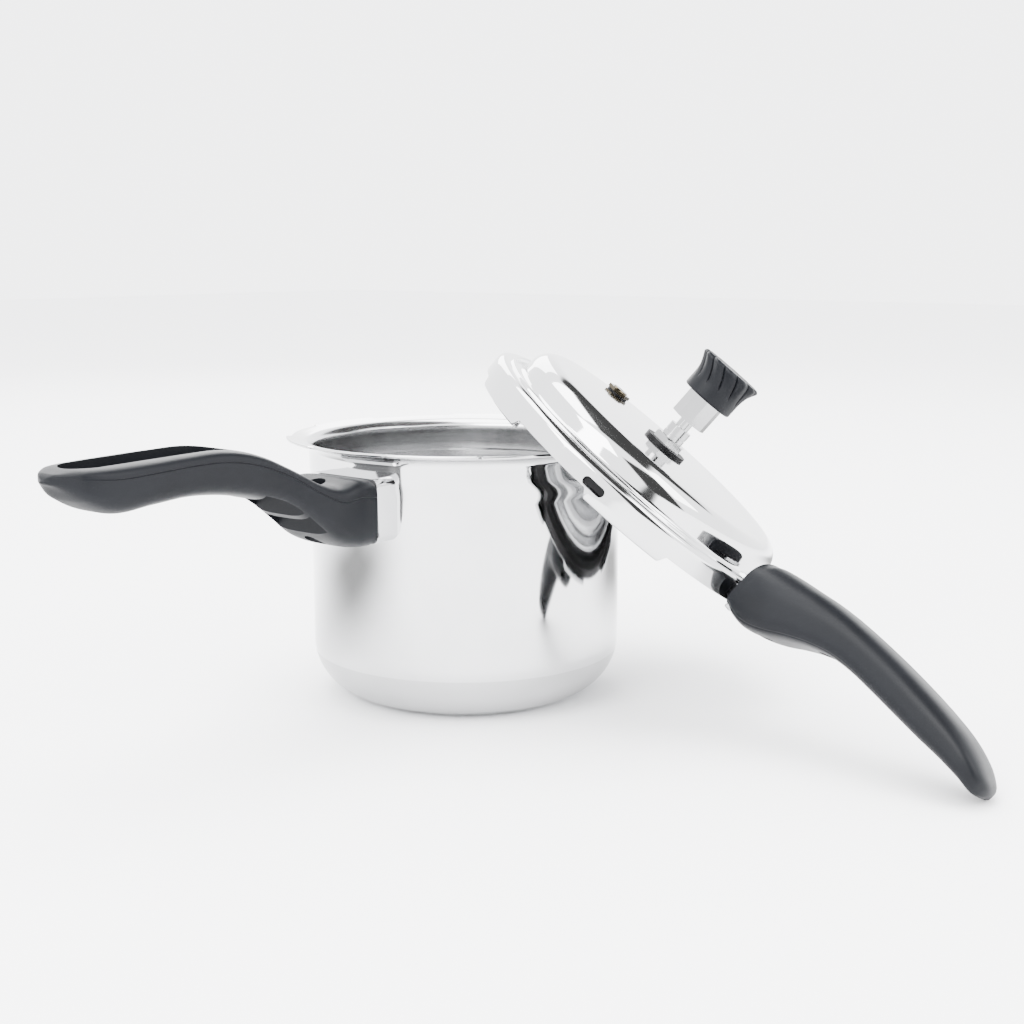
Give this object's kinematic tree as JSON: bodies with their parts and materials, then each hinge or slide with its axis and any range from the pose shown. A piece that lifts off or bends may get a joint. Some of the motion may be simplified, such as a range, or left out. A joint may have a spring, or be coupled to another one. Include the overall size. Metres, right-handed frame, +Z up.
{
  "type": "stovetop pressure cooker",
  "caption": "Stainless stovetop pressure cooker with a bayonet outer lid leaning off the pot, long phenolic pot and lid handles, vent pipe with regulator weight, gasket and safety plug.",
  "frame": {"origin": "centre of the pot's flat base, on the table", "axes": "+Z up along the pot's axis, -X along the pot handle"},
  "size_m": [0.4206, 0.4096, 0.1927],
  "materials": {
    "polished_steel": "mirror polished stainless sheet",
    "plain_steel": "turned stainless",
    "aluminium": "plain",
    "phenolic": "moulded phenolic, satin",
    "rubber": "moulded rubber",
    "brass": "turned",
    "fusible_metal": "cast low-melting alloy"
  },
  "bodies": {
    "pot": {"pot_body": "polished_steel", "heat_disc": "aluminium", "base_plate": "polished_steel", "pot_bracket": "polished_steel", "pot_bracket_nut": "plain_steel", "pot_handle": "phenolic", "pot_handle_screw": "plain_steel", "pot_handle_washer": "plain_steel"},
    "gasket": {"gasket": "rubber"},
    "lid": {"lid_shell": "polished_steel", "lid_bracket": "polished_steel", "lid_handle": "phenolic", "lid_handle_screws": "plain_steel", "lid_handle_washers": "plain_steel", "lid_handle_nuts": "plain_steel", "vent_pipe": "plain_steel", "vent_nut": "plain_steel", "vent_seal": "rubber", "vent_lock_nut": "plain_steel", "safety_plug": "brass", "fusible_core": "fusible_metal", "plug_seal": "rubber", "plug_nut": "brass"},
    "weight": {"weight_body": "plain_steel", "weight_knob": "phenolic", "weight_needle": "plain_steel", "knob_screw": "plain_steel"}
  },
  "joints": [
    {"name": "lid_carry", "type": "hinge", "parent": "pot", "child": "gasket", "pos_m": [-0.03269, 0.05251, 0.03089], "axis": [-0.849, -0.5284, 0], "range_deg": [0, 40.35]},
    {"name": "lid_turn", "type": "hinge", "parent": "gasket", "child": "lid", "pos_m": [0.04666, -0.07496, 0.1121], "axis": [0.3421, -0.5497, 0.7621], "range_deg": [-82.3, 0]},
    {"name": "weight_lift", "type": "slide", "parent": "lid", "child": "weight", "axis": [0.3421, -0.5497, 0.7621], "range_m": [0, 0.025]}
  ]
}
